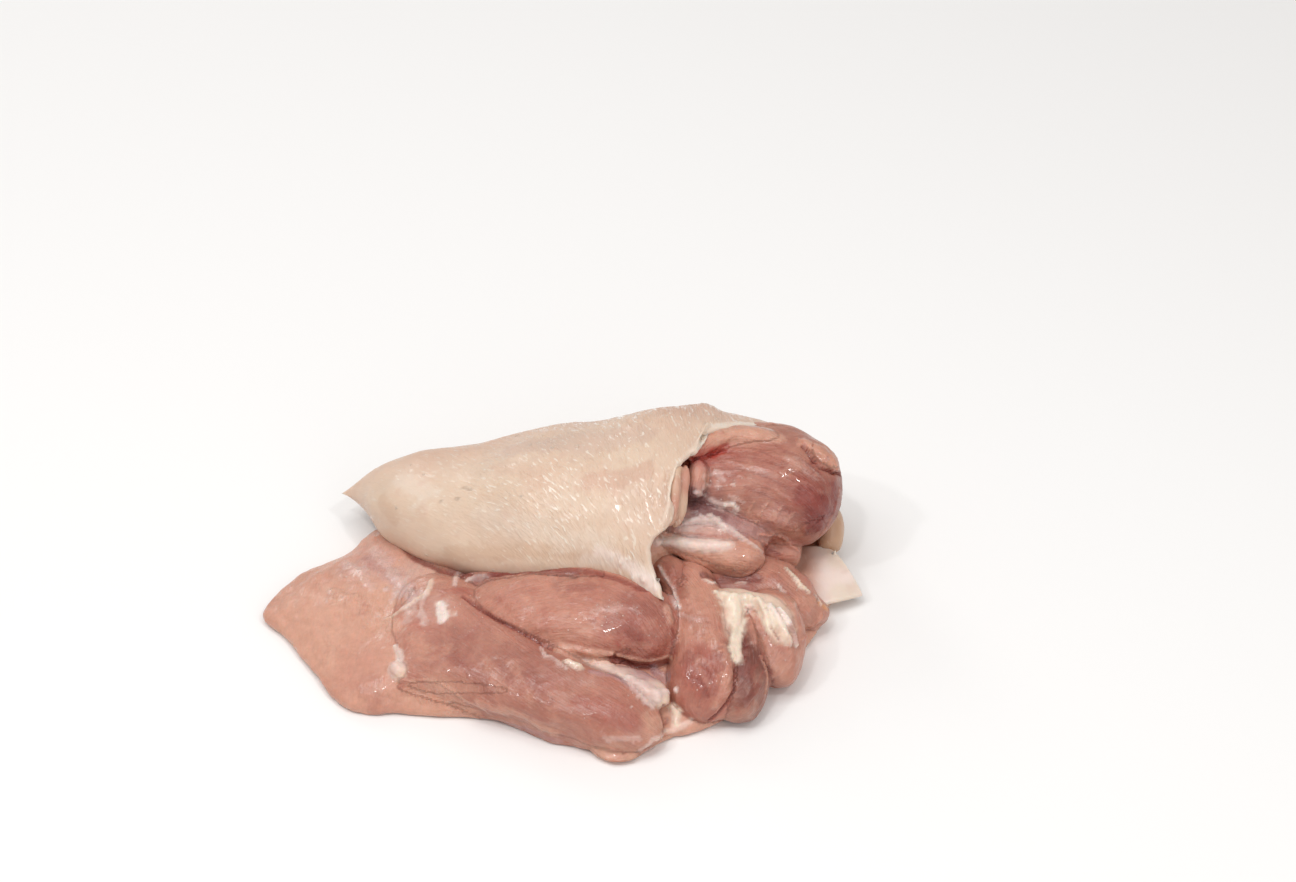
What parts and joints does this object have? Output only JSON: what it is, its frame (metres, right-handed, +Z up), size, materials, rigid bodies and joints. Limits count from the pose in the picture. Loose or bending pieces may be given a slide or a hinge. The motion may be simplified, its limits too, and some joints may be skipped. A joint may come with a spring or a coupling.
{
  "type": "raw chicken thigh fillet",
  "caption": "Raw boneless chicken thigh fillet with skin on, folded once with its open flesh to the front.",
  "frame": {"origin": "on the surface that the fillet lies on, at the middle of its footprint box", "axes": "+X along the fillet, from the pale wing of flesh to the dark muscle; -Y towards the open flesh at the front; +Z up"},
  "size_m": [0.1416, 0.0911, 0.0384],
  "materials": {
    "flesh": "moist raw chicken flesh, pink to dusky red, fibrous, with white fat",
    "skin": "moist raw chicken skin, cream, finely wrinkled with feather pores"
  },
  "bodies": {
    "root": {"flesh": "flesh", "skin": "skin"}
  },
  "joints": []
}
